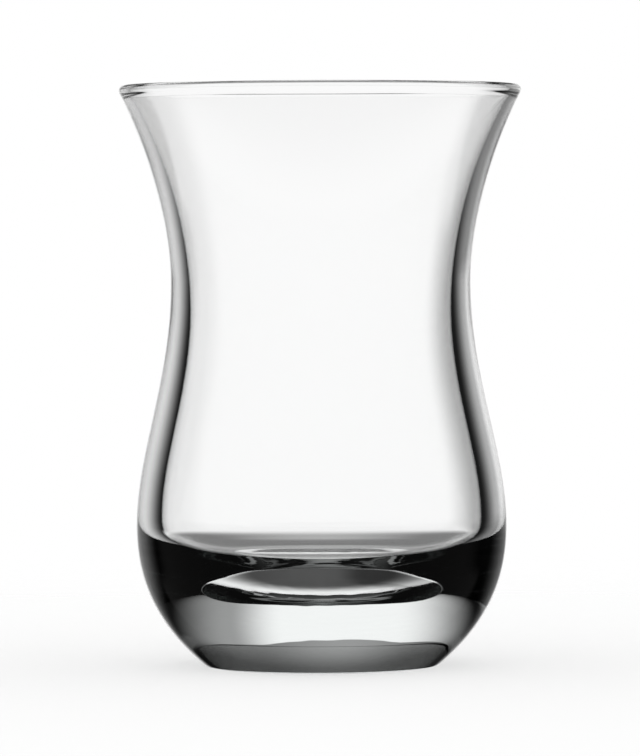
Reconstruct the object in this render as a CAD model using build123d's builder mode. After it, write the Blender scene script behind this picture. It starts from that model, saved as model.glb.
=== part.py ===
"""Thin-waisted tea glass: one heavy piece of clear glass, turned about the Z axis.

The origin is the centre of the foot on the table, +Z is up and all lengths are in millimetres.
"""
import os
from math import cos, radians, sin

from build123d import *

# Outside of the glass
height = 88.0
rim_diameter = 60.9
waist_diameter = 45.4
belly_diameter = 56.1
foot_diameter = 35.3
flare_depth = 29.7
belly_height = 21.2

# How far each outside curve keeps the direction it starts with
lip_reach = 9.6
waist_reach_up = 8.5
waist_reach_down = 15.0
belly_reach_up = 11.4
belly_reach_down = 7.5
foot_reach = 10.4

# Slope of the lip off the vertical, and of the heel off the table
flare_angle = 27.5
heel_angle = 40.0
heel_radius = 1.0

# Fire-polished bead on the rim, and the thin neck of wall under it
bead_radius = 0.85
lip_wall = 1.35
neck_length = 1.2

# Wall, which grows thicker downwards
waist_wall = 2.87
belly_wall = 3.76
inner_waist_drop = 4.9

# Heavy base, whose floor is a shallow dish inside a steeper bowl; each angle is the slope at the edge
base_thickness = 11.3
dish_diameter = 25.4
dish_angle = 8.6
bowl_radius = 16.2
bowl_angle = 36.0
corner_rise = 10.9

# How far each inside curve keeps the direction it starts with
mouth_reach = 12.9
inner_waist_reach_up = 11.9
inner_waist_reach_down = 12.0
corner_reach_up = 9.5
corner_reach_down = 4.0
bowl_reach = 3.5

# Hollow under the foot, inside the ring that the glass stands on
hollow_diameter = 28.0
hollow_depth = 1.0

# Points of the outside curve
flare_slope = radians(flare_angle)
heel_slope = radians(heel_angle)
along_lip = Vector(sin(flare_slope), cos(flare_slope))
across_lip = Vector(cos(flare_slope), -sin(flare_slope))
along_heel = Vector(cos(heel_slope), sin(heel_slope))
bead_centre = Vector(rim_diameter / 2 - bead_radius, height - bead_radius)
bead_outside = bead_centre + across_lip * bead_radius
bead_top = bead_centre + Vector(0, bead_radius)
waist = Vector(waist_diameter / 2, height - flare_depth)
belly = Vector(belly_diameter / 2, belly_height)
foot = Vector(foot_diameter / 2, 0)

# Points of the inside curve
neck = bead_centre + across_lip * (bead_radius - lip_wall) - along_lip * neck_length
inner_waist = Vector(waist.X - waist_wall, waist.Y - inner_waist_drop)
corner = Vector(belly.X - belly_wall, base_thickness + corner_rise)

# Points of the floor
dish_slope = radians(dish_angle)
bowl_slope = radians(bowl_angle)
along_dish = Vector(cos(dish_slope), sin(dish_slope))
along_bowl = Vector(cos(bowl_slope), sin(bowl_slope))
dish_radius = dish_diameter / 2 / sin(dish_slope)
dish_edge = Vector(dish_diameter / 2, base_thickness + dish_radius * (1 - cos(dish_slope)))
bowl_centre = dish_edge + Vector(-sin(dish_slope), cos(dish_slope)) * bowl_radius
bowl_edge = bowl_centre + Vector(sin(bowl_slope), -cos(bowl_slope)) * bowl_radius
floor_centre = Vector(0, base_thickness)

# Crease under the bead: an arc that leaves the neck along the wall and meets the bead smoothly
to_neck = neck - bead_centre
into_cup = across_lip * -1
crease_radius = (to_neck.dot(to_neck) - bead_radius**2) / (2 * (bead_radius - to_neck.dot(into_cup)))
crease_centre = neck + into_cup * crease_radius
towards_crease = (crease_centre - bead_centre).normalized()
bead_inside = bead_centre + towards_crease * bead_radius
crease_middle = crease_centre + ((neck + bead_inside) * 0.5 - crease_centre).normalized() * crease_radius

with BuildPart() as glass_body:
    with BuildSketch(Plane.XZ):
        with BuildLine():
            # Outside, from the foot up to the rim
            Bezier(
                foot,
                foot + along_heel * foot_reach,
                belly - Vector(0, belly_reach_down),
                belly,
            )
            Bezier(
                belly,
                belly + Vector(0, belly_reach_up),
                waist - Vector(0, waist_reach_down),
                waist,
            )
            Bezier(
                waist,
                waist + Vector(0, waist_reach_up),
                bead_outside - along_lip * lip_reach,
                bead_outside,
            )
            # Rim bead and the crease below it
            ThreePointArc(bead_outside, bead_top, bead_inside)
            ThreePointArc(bead_inside, crease_middle, neck)
            # Inside, from the neck down to the middle of the floor
            Bezier(
                neck,
                neck - along_lip * mouth_reach,
                inner_waist + Vector(0, inner_waist_reach_up),
                inner_waist,
            )
            Bezier(
                inner_waist,
                inner_waist - Vector(0, inner_waist_reach_down),
                corner + Vector(0, corner_reach_up),
                corner,
            )
            Bezier(
                corner,
                corner - Vector(0, corner_reach_down),
                bowl_edge + along_bowl * bowl_reach,
                bowl_edge,
            )
            TangentArc(bowl_edge, dish_edge, tangent=along_bowl * -1)
            TangentArc(dish_edge, floor_centre, tangent=along_dish * -1)
            # Through the base, along the hollow and out over the ring
            hollow_edge = Vector(hollow_diameter / 2, 0)
            hollow_top = Vector(0, hollow_depth)
            Line(floor_centre, hollow_top)
            TangentArc(hollow_top, hollow_edge, tangent=(1, 0))
            Line(hollow_edge, foot)
        make_face()
    revolve(axis=Axis.Z)
    heel = glass_body.edges().filter_by(GeomType.CIRCLE).group_by(Axis.Z)[0].sort_by(SortBy.RADIUS)[-1]
    fillet(heel, radius=heel_radius)

glass_body.part.label = "glass_body"

os.makedirs("parts", exist_ok=True)
export_step(glass_body.part, "parts/glass_body.step")
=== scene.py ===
"""Thin-waisted tea glass in a white studio. Lengths are in metres, +Z is up, the foot stands at z = 0."""
from math import atan2, cos, pi, radians, sin, sqrt, tan

import bmesh
import bpy
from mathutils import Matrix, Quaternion, Vector


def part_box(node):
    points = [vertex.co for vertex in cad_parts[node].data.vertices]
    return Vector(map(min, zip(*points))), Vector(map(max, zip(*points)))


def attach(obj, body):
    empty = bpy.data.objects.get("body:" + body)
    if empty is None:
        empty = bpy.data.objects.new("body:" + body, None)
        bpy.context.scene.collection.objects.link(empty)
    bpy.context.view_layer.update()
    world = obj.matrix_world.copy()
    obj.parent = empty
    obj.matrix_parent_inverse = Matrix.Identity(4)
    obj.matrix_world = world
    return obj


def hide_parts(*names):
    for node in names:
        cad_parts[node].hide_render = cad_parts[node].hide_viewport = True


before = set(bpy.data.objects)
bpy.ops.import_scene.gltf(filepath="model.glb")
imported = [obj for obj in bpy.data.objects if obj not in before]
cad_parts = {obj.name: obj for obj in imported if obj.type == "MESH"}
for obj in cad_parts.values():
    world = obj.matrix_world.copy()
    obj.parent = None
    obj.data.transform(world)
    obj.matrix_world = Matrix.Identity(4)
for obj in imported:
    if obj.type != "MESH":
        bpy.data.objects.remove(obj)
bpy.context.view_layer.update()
node_low, node_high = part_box("glass_body")

# Outside of the glass
height = node_high.z - node_low.z
rim_diameter = node_high.x - node_low.x
waist_diameter = 0.0454
belly_diameter = 0.0561
foot_diameter = 0.0353
flare_depth = 0.0297
belly_height = 0.0212
flare_slope = radians(27.5)
heel_slope = radians(40.0)
heel_radius = 0.0010

# How far each outside curve keeps the direction it starts with
lip_reach = 0.0096
waist_reach_up = 0.0085
waist_reach_down = 0.0150
belly_reach_up = 0.0114
belly_reach_down = 0.0075
foot_reach = 0.0104

# Bead on the rim, and the wall
bead_radius = 0.00085
lip_wall = 0.00135
neck_length = 0.0012
waist_wall = 0.00287
belly_wall = 0.00376
inner_waist_drop = 0.0049

# Heavy base, whose floor is a shallow dish inside a steeper bowl; each slope is the one at the edge
base_thickness = 0.0113
dish_diameter = 0.0254
dish_slope = radians(8.6)
bowl_radius = 0.0162
bowl_slope = radians(36.0)
corner_rise = 0.0109
hollow_diameter = 0.0280
hollow_depth = 0.0010

# How far each inside curve keeps the direction it starts with
mouth_reach = 0.0129
inner_waist_reach_up = 0.0119
inner_waist_reach_down = 0.0120
corner_reach_up = 0.0095
corner_reach_down = 0.0040
bowl_reach = 0.0035

# Faint waves that pressing leaves on the floor and under the foot
floor_ripple = 0.000002
foot_ripple = 0.000012
ripple_length = 0.0020
ripple_waves = 7
ripple_fade = 0.0012
ripple_turn = radians(137.5)

# Fineness of the mesh
segments = 224
ring_spacing = 0.0006
finest_turn = radians(6)

# Soda-lime glass, and the trace of green in it
refraction = 1.52
tint_colour = (0.90, 1.0, 0.97, 1)
tint_density = 5.0
white = (1, 1, 1, 1)

# Faint level lines on all of the glass, waves a metre along each axis, and how deep they are
line_scale = (25, 25, 350)
line_depth = 0.000008

# Wear on the ring that the glass stands on
wear_height = 0.0003
wear_roughness = 0.12
wear_scale = 900

# Camera
camera_distance = 0.890
camera_height = 0.067
aim = Vector((-0.00016, 0, 0.04358))
roll = radians(-0.23)
image_height = 756
metres_per_pixel = 0.00015154
sensor = 36.0

# Floor
floor_radius = 0.30
floor_segments = 96
floor_fade_from = 0.04
floor_clearness = 0.45
floor_colour = (0.97, 0.97, 0.97, 1)

# Light passes through and inside the glass many times
light_bounces = 24

# The studio is given as (degrees, level) stops with soft steps between them
# A rise is measured up from level, and a turn from +Y towards +X
half_turn = 180

# White backdrop above a dim ground, which the glass refracts
backdrop_rise = ((-60, 0.4), (-36, 0.2), (-33, 0.2), (-21, 1.0), (23, 1.0), (24, 0.0))
backdrop_turn = ((9, 1.0), (23, 0.5))

# Lighter rest of the studio, and how much of it the backdrop covers
rest_rise = ((-55, 0.95), (-42, 0.6), (-35, 0.6), (-25, 1.0), (23, 1.0), (24, 0.0))
cover_turn = ((-34, 0.0), (-20, 1.0), (45, 1.0), (70, 0.0))
cover_rise = ((-65, 0.0), (-50, 1.0))

# Lit table and a card on it between dark flags, which reflections inside the glass show; the table darkens
# steeply downwards with a painted shadow of the glass near its foot
table_shadow_rise = ((-50, 0.08), (-21, 1.0))
card_turn = ((-48, 0.01), (-16, 1.0), (8, 1.0), (22, 0.35), (46, 0.01))

# Top edge of the card, which bows upwards at its ends
card_middle = -5.0
card_bow = 0.010
card_top = ((10, 1.0), (11, 0.0))

# The same card as the outside of the glass reflects it, narrower low down
outer_left = ((-54, 0.01), (-30, 0.4), (-18, 0.5), (-9, 1.0))
outer_right = ((37, 1.0), (55, 0.01))
outer_low_right = ((6, 1.0), (18, 0.3), (50, 0.01))
outer_low_share = ((-4, 1.0), (0, 0.0))

# The outside also reflects the table below it, darkened there by a painted contact shadow of the glass
outer_contact_shadow_rise = ((-22, 0.0), (-8, 1.0))

# Light room beside and behind the camera and the ground in it, which light reflected once shows
room_turn = ((-66, 1.0), (-50, 0.0), (56, 0.0), (80, 1.0))
room_rise = ((-80, 0.3), (-45, 1.0), (25, 1.0), (45, 0.4))
room_outside = 0.06
ground_turn = ((-50, 1.0), (-44, 0.0), (52, 0.0), (60, 1.0))
ground_share = ((-20, 1.0), (-12, 0.0))

# Grey wall above the card, as it is refracted and as reflections show it
wall_rise = ((6, 0.0), (11, 0.35), (24, 0.35), (38, 0.1))
wall_in_reflections = ((6, 0.0), (11, 0.35), (18, 0.35), (24, 0.0), (38, 0.0), (55, 0.25))
wall_turn = ((0, 1.0), (25, 0.55), (70, 0.0))

# Where a count of reflections or refractions passes none, one and two
past_none = 0.5
past_one = 1.5
past_two = 2.5

# How much of the lit table and card is left after more than two reflections
kept_after_many = 0.05


def curve(start, start_pull, end_pull, end):
    """Points along a cubic curve, with its start and without its end."""
    steps = max(2, round((end - start).length / ring_spacing))
    points = []
    for step in range(steps):
        t = step / steps
        s = 1 - t
        points.append(start * s**3 + start_pull * 3 * s**2 * t + end_pull * 3 * s * t**2 + end * t**3)
    return points


def arc(centre, radius, first_angle, last_angle):
    """Points along an arc, with its start and without its end."""
    turn = abs(last_angle - first_angle)
    steps = round(max(turn / finest_turn, turn * radius / ring_spacing))
    points = []
    for step in range(steps):
        angle = first_angle + (last_angle - first_angle) * step / steps
        points.append(centre + Vector((cos(angle), sin(angle))) * radius)
    return points


def direction(vector):
    """Angle of a flat vector, anticlockwise from the radius."""
    return atan2(vector.y, vector.x)


def glass_outline():
    """Half section (radius, height) from the middle of the underside over the rim to that of the floor."""
    up = Vector((0, 1))
    out = Vector((1, 0))
    along_lip = Vector((sin(flare_slope), cos(flare_slope)))
    across_lip = Vector((cos(flare_slope), -sin(flare_slope)))
    along_heel = Vector((cos(heel_slope), sin(heel_slope)))

    hollow_edge = hollow_diameter / 2
    hollow_radius = (hollow_edge**2 + hollow_depth**2) / (2 * hollow_depth)
    hollow_centre = up * (hollow_depth - hollow_radius)
    hollow_spread = atan2(hollow_edge, -hollow_centre.y)
    hollow = arc(hollow_centre, hollow_radius, pi / 2, pi / 2 - hollow_spread)

    foot = out * (foot_diameter / 2)
    heel_centre = foot - out * (heel_radius * tan(heel_slope / 2)) + up * heel_radius
    ring = [out * hollow_edge]
    heel = arc(heel_centre, heel_radius, -pi / 2, heel_slope - pi / 2)

    belly = Vector((belly_diameter / 2, belly_height))
    waist = Vector((waist_diameter / 2, height - flare_depth))
    bead_centre = Vector((rim_diameter / 2 - bead_radius, height - bead_radius))
    bead_outside = bead_centre + across_lip * bead_radius
    lip_pull = bead_outside - along_lip * lip_reach
    foot_curve = curve(foot, foot + along_heel * foot_reach, belly - up * belly_reach_down, belly)
    foot_curve = [point for point in foot_curve if point.y > heel[-1].y]
    belly_curve = curve(belly, belly + up * belly_reach_up, waist - up * waist_reach_down, waist)
    flare_curve = curve(waist, waist + up * waist_reach_up, lip_pull, bead_outside)

    neck = bead_centre + across_lip * (bead_radius - lip_wall) - along_lip * neck_length
    to_neck = neck - bead_centre
    neck_spread = bead_radius + to_neck.dot(across_lip)
    crease_radius = (to_neck.length_squared - bead_radius**2) / (2 * neck_spread)
    crease_centre = neck - across_lip * crease_radius
    bead_end = direction(crease_centre - bead_centre) + 2 * pi
    bead = arc(bead_centre, bead_radius, -flare_slope, bead_end % (2 * pi))
    crease_start = direction(bead_centre - crease_centre)
    crease = arc(crease_centre, crease_radius, crease_start, -flare_slope)

    inner_waist = Vector((waist.x - waist_wall, waist.y - inner_waist_drop))
    corner = Vector((belly.x - belly_wall, base_thickness + corner_rise))
    pull_above = inner_waist + up * inner_waist_reach_up
    pull_below = inner_waist - up * inner_waist_reach_down
    mouth = curve(neck, neck - along_lip * mouth_reach, pull_above, inner_waist)
    inside = curve(inner_waist, pull_below, corner + up * corner_reach_up, corner)

    dish_radius = dish_diameter / 2 / sin(dish_slope)
    dish_centre = up * (base_thickness + dish_radius)
    to_dish_edge = out * sin(dish_slope) - up * cos(dish_slope)
    bowl_centre = dish_centre + to_dish_edge * (dish_radius - bowl_radius)
    bowl_edge = bowl_centre + (out * sin(bowl_slope) - up * cos(bowl_slope)) * bowl_radius
    along_bowl = out * cos(bowl_slope) + up * sin(bowl_slope)
    rounded = curve(corner, corner - up * corner_reach_down, bowl_edge + along_bowl * bowl_reach, bowl_edge)
    bowl = arc(bowl_centre, bowl_radius, bowl_slope - pi / 2, dish_slope - pi / 2)
    dish = arc(dish_centre, dish_radius, dish_slope - pi / 2, -pi / 2)

    outside = ring + heel + foot_curve + belly_curve + flare_curve
    floor = rounded + bowl + dish + [up * base_thickness]
    return hollow + outside + bead + crease + mouth + inside + floor


def ripple(x, y, height_there):
    """Unevenness of the floor and the underside at a place, fading out at the ring of the foot."""
    total = 0
    for wave in range(ripple_waves):
        heading = wave * ripple_turn
        length = ripple_length * (1 + wave / ripple_waves)
        total += sin(2 * pi * (x * cos(heading) + y * sin(heading)) / length + heading)
    to_ring = hollow_diameter / 2 - Vector((x, y)).length
    fade = min(1, max(0, to_ring / ripple_fade))
    depth = foot_ripple if height_there < base_thickness / 2 else floor_ripple
    return depth * fade * total / sqrt(ripple_waves)


def turned(name, outline):
    """Closed mesh of an outline turned about Z. The outline starts and ends on the axis."""
    mesh = bmesh.new()
    rings = []
    for point in outline[1:-1]:
        ring = []
        for segment in range(segments):
            angle = 2 * pi * segment / segments
            x = point.x * cos(angle)
            y = point.x * sin(angle)
            ring.append(mesh.verts.new((x, y, point.y + ripple(x, y, point.y))))
        rings.append(ring)
    bottom = mesh.verts.new((0, 0, outline[0].y + ripple(0, 0, outline[0].y)))
    top = mesh.verts.new((0, 0, outline[-1].y + ripple(0, 0, outline[-1].y)))
    for this in range(segments):
        after = (this + 1) % segments
        mesh.faces.new((bottom, rings[0][after], rings[0][this]))
        for lower, upper in zip(rings, rings[1:]):
            mesh.faces.new((lower[this], lower[after], upper[after], upper[this]))
        mesh.faces.new((rings[-1][this], rings[-1][after], top))
    for face in mesh.faces:
        face.smooth = True
    data = bpy.data.meshes.new(name)
    mesh.to_mesh(data)
    mesh.free()
    piece = bpy.data.objects.new(name, data)
    bpy.context.scene.collection.objects.link(piece)
    return piece


def calculate(tree, operation, *values):
    """Output of a Math node whose inputs are numbers or other nodes' outputs."""
    node = tree.nodes.new("ShaderNodeMath")
    node.operation = operation
    for socket, value in zip(node.inputs, values):
        if isinstance(value, bpy.types.NodeSocket):
            tree.links.new(value, socket)
        else:
            socket.default_value = value
    return node.outputs["Value"]


def product(tree, *levels):
    """All of the levels multiplied."""
    total = levels[0]
    for level in levels[1:]:
        total = calculate(tree, "MULTIPLY", total, level)
    return total


def blend(tree, level, other_level, share):
    """A level that turns into the other one as the share goes from 0 to 1."""
    return calculate(tree, "MULTIPLY_ADD", share, calculate(tree, "SUBTRACT", other_level, level), level)


def remainder(tree, share):
    """What a share leaves of 1."""
    return calculate(tree, "SUBTRACT", 1, share)


def level_lines(tree, place):
    """Normals of a surface with faint level lines."""
    spread = tree.nodes.new("ShaderNodeMapping")
    spread.inputs["Scale"].default_value = line_scale
    lines = tree.nodes.new("ShaderNodeTexNoise")
    lines.inputs["Scale"].default_value = 1
    bump = tree.nodes.new("ShaderNodeBump")
    bump.inputs["Strength"].default_value = 1
    bump.inputs["Distance"].default_value = line_depth
    tree.links.new(place, spread.inputs["Vector"])
    tree.links.new(spread.outputs["Vector"], lines.inputs["Vector"])
    tree.links.new(lines.outputs["Fac"], bump.inputs["Height"])
    return bump.outputs["Normal"]


def foot_wear(tree, place):
    """Roughness that is uneven on the ring of the foot and ends just above it."""
    spot = tree.nodes.new("ShaderNodeSeparateXYZ")
    worn = tree.nodes.new("ShaderNodeMapRange")
    worn.inputs["From Max"].default_value = wear_height
    worn.inputs["To Min"].default_value = wear_roughness
    worn.inputs["To Max"].default_value = 0
    scuffs = tree.nodes.new("ShaderNodeTexNoise")
    scuffs.inputs["Scale"].default_value = wear_scale
    tree.links.new(place, spot.inputs["Vector"])
    tree.links.new(place, scuffs.inputs["Vector"])
    tree.links.new(spot.outputs["Z"], worn.inputs["Value"])
    return product(tree, worn.outputs["Result"], scuffs.outputs["Fac"])


def clear_glass():
    """Soda-lime glass with a trace of green, faint level lines, and wear where it stands."""
    material = bpy.data.materials.new("clear_glass")
    material.use_nodes = True
    tree = material.node_tree
    tree.nodes.clear()
    output = tree.nodes.new("ShaderNodeOutputMaterial")
    glass = tree.nodes.new("ShaderNodeBsdfPrincipled")
    glass.inputs["Base Color"].default_value = white
    glass.inputs["IOR"].default_value = refraction
    glass.inputs["Transmission Weight"].default_value = 1
    tint = tree.nodes.new("ShaderNodeVolumeAbsorption")
    tint.inputs["Color"].default_value = tint_colour
    tint.inputs["Density"].default_value = tint_density
    place = tree.nodes.new("ShaderNodeTexCoord").outputs["Object"]
    tree.links.new(level_lines(tree, place), glass.inputs["Normal"])
    tree.links.new(foot_wear(tree, place), glass.inputs["Roughness"])
    tree.links.new(glass.outputs["BSDF"], output.inputs["Surface"])
    tree.links.new(tint.outputs["Volume"], output.inputs["Volume"])
    return material


def level_at(tree, angle, stops):
    """Brightness at an angle in degrees, with soft steps between (degrees, level) stops."""
    lowest = stops[0][0]
    span = stops[-1][0] - lowest
    ramp = tree.nodes.new("ShaderNodeValToRGB")
    ramp.color_ramp.interpolation = "EASE"
    elements = ramp.color_ramp.elements
    elements.remove(elements[-1])
    for degrees, level in stops:
        place = (degrees - lowest) / span
        element = elements[0] if degrees == lowest else elements.new(place)
        element.position = place
        element.color = (level, level, level, 1)
    along = calculate(tree, "DIVIDE", calculate(tree, "SUBTRACT", angle, lowest), span)
    tree.links.new(along, ramp.inputs["Fac"])
    return ramp.outputs["Color"]


def refracted_level(tree, elevation, azimuth, wall_spread):
    """Brightness of what the glass refracts: the backdrop, the rest of the studio and the grey wall."""
    above_ground = level_at(tree, elevation, backdrop_rise)
    backdrop = product(tree, above_ground, level_at(tree, azimuth, backdrop_turn))
    cover = product(tree, level_at(tree, azimuth, cover_turn), level_at(tree, elevation, cover_rise))
    behind = blend(tree, level_at(tree, elevation, rest_rise), backdrop, cover)
    wall = product(tree, level_at(tree, elevation, wall_rise), wall_spread)
    return calculate(tree, "MAXIMUM", behind, wall)


def lit_level(tree, elevation, azimuth, aside, is_outer, reflections):
    """Brightness of the lit table and card, inside the glass or on its outside, with a painted shadow of
    the glass on the table.
    """
    is_low = level_at(tree, elevation, outer_low_share)
    low_right = level_at(tree, azimuth, outer_low_right)
    right = blend(tree, level_at(tree, azimuth, outer_right), low_right, is_low)
    outside = product(tree, level_at(tree, azimuth, outer_left), right)
    lit_turn = blend(tree, level_at(tree, azimuth, card_turn), outside, is_outer)

    bow = product(tree, calculate(tree, "POWER", aside, 2), card_bow)
    top = level_at(tree, calculate(tree, "SUBTRACT", elevation, bow), card_top)
    # The table goes dark steeply downwards: painted shadow of the glass near its foot
    edges = product(tree, level_at(tree, elevation, table_shadow_rise), top)

    is_deep = calculate(tree, "GREATER_THAN", reflections, past_two)
    lost_inside = product(tree, is_deep, 1 - kept_after_many)
    # Painted contact shadow: the outside's reflection of the table goes dark steeply downwards
    lost_outside = product(tree, is_outer, remainder(tree, level_at(tree, elevation, outer_contact_shadow_rise)))
    kept = remainder(tree, calculate(tree, "MAXIMUM", lost_outside, lost_inside))
    return product(tree, lit_turn, edges, kept)


def room_level(tree, elevation, azimuth, is_outer, reflections):
    """Brightness of the room and its ground, which light reflected more than once doesn't show."""
    is_ground = level_at(tree, elevation, ground_share)
    ground = level_at(tree, azimuth, ground_turn)
    spread = blend(tree, level_at(tree, azimuth, room_turn), ground, is_ground)
    is_again = calculate(tree, "GREATER_THAN", reflections, past_one)
    lost_outside = product(tree, is_outer, 1 - room_outside)
    kept = remainder(tree, calculate(tree, "MAXIMUM", lost_outside, is_again))
    return product(tree, spread, level_at(tree, elevation, room_rise), kept)


def studio():
    """White for the camera and the floor; what the glass refracts and reflects is the studio round it."""
    world = bpy.data.worlds.new("studio")
    world.use_nodes = True
    tree = world.node_tree
    tree.nodes.clear()
    output = tree.nodes.new("ShaderNodeOutputWorld")
    light = tree.nodes.new("ShaderNodeBackground")
    light.inputs["Color"].default_value = white
    towards = tree.nodes.new("ShaderNodeSeparateXYZ")
    place = tree.nodes.new("ShaderNodeTexCoord")
    path = tree.nodes.new("ShaderNodeLightPath").outputs
    reflections = path["Glossy Depth"]
    tree.links.new(place.outputs["Generated"], towards.inputs["Vector"])

    elevation = calculate(tree, "DEGREES", calculate(tree, "ARCSINE", towards.outputs["Z"]))
    bearing = calculate(tree, "ARCTAN2", towards.outputs["X"], towards.outputs["Y"])
    azimuth = calculate(tree, "DEGREES", bearing)
    from_card = calculate(tree, "SUBTRACT", azimuth, card_middle)
    aside = calculate(tree, "ABSOLUTE", calculate(tree, "WRAP", from_card, half_turn, -half_turn))
    is_outer = calculate(tree, "LESS_THAN", path["Transmission Depth"], past_none)

    wall_spread = level_at(tree, aside, wall_turn)
    refracted = refracted_level(tree, elevation, azimuth, wall_spread)
    lit = lit_level(tree, elevation, azimuth, aside, is_outer, reflections)
    wall = product(tree, level_at(tree, elevation, wall_in_reflections), wall_spread)
    room = room_level(tree, elevation, azimuth, is_outer, reflections)
    reflected = calculate(tree, "MAXIMUM", calculate(tree, "MAXIMUM", lit, wall), room)

    is_reflection = calculate(tree, "GREATER_THAN", reflections, past_none)
    from_floor = calculate(tree, "GREATER_THAN", path["Diffuse Depth"], past_none)
    is_glass = calculate(tree, "MAXIMUM", path["Is Glossy Ray"], path["Is Transmission Ray"])
    shows_studio = product(tree, is_glass, remainder(tree, from_floor))
    studio_light = blend(tree, refracted, reflected, is_reflection)
    tree.links.new(blend(tree, 1, studio_light, shows_studio), light.inputs["Strength"])
    tree.links.new(light.outputs["Background"], output.inputs["Surface"])
    return world


def pale_floor():
    """White floor that keeps the shadow of the glass and fades into the backdrop."""
    mesh = bmesh.new()
    bmesh.ops.create_circle(mesh, cap_ends=True, segments=floor_segments, radius=floor_radius)
    data = bpy.data.meshes.new("floor")
    mesh.to_mesh(data)
    mesh.free()
    material = bpy.data.materials.new("floor")
    material.use_nodes = True
    tree = material.node_tree
    tree.nodes.clear()
    output = tree.nodes.new("ShaderNodeOutputMaterial")
    surface = tree.nodes.new("ShaderNodeBsdfDiffuse")
    surface.inputs["Color"].default_value = floor_colour
    nothing = tree.nodes.new("ShaderNodeBsdfTransparent")
    mix = tree.nodes.new("ShaderNodeMixShader")
    place = tree.nodes.new("ShaderNodeTexCoord")
    distance = tree.nodes.new("ShaderNodeVectorMath")
    distance.operation = "LENGTH"
    fade = tree.nodes.new("ShaderNodeMapRange")
    fade.interpolation_type = "SMOOTHSTEP"
    fade.inputs["From Min"].default_value = floor_fade_from
    fade.inputs["From Max"].default_value = floor_radius
    fade.inputs["To Min"].default_value = floor_clearness
    tree.links.new(place.outputs["Object"], distance.inputs[0])
    tree.links.new(distance.outputs["Value"], fade.inputs["Value"])
    tree.links.new(fade.outputs["Result"], mix.inputs["Fac"])
    tree.links.new(surface.outputs["BSDF"], mix.inputs[1])
    tree.links.new(nothing.outputs["BSDF"], mix.inputs[2])
    tree.links.new(mix.outputs["Shader"], output.inputs["Surface"])
    data.materials.append(material)
    floor = bpy.data.objects.new("floor", data)
    bpy.context.scene.collection.objects.link(floor)
    floor.visible_glossy = False
    floor.visible_transmission = False
    return floor


def camera():
    """Long lens level with the upper part of the glass, framed and leaning as the photograph."""
    lens = bpy.data.cameras.new("camera")
    lens.sensor_width = sensor
    lens.lens = camera_distance / metres_per_pixel * sensor / image_height
    view = bpy.data.objects.new("camera", lens)
    view.location = (aim.x, -camera_distance, camera_height)
    view.rotation_mode = "QUATERNION"
    level = (aim - view.location).to_track_quat("-Z", "Y")
    view.rotation_quaternion = level @ Quaternion((0, 0, 1), roll)
    bpy.context.scene.collection.objects.link(view)
    return view


glass = turned("tea_glass", glass_outline())
glass.data.materials.append(clear_glass())
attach(glass, "root")
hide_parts("glass_body")
pale_floor()

scene = bpy.context.scene
scene.camera = camera()
scene.world = studio()
scene.view_settings.view_transform = "Standard"
scene.cycles.max_bounces = light_bounces
scene.cycles.transmission_bounces = light_bounces
scene.cycles.glossy_bounces = light_bounces
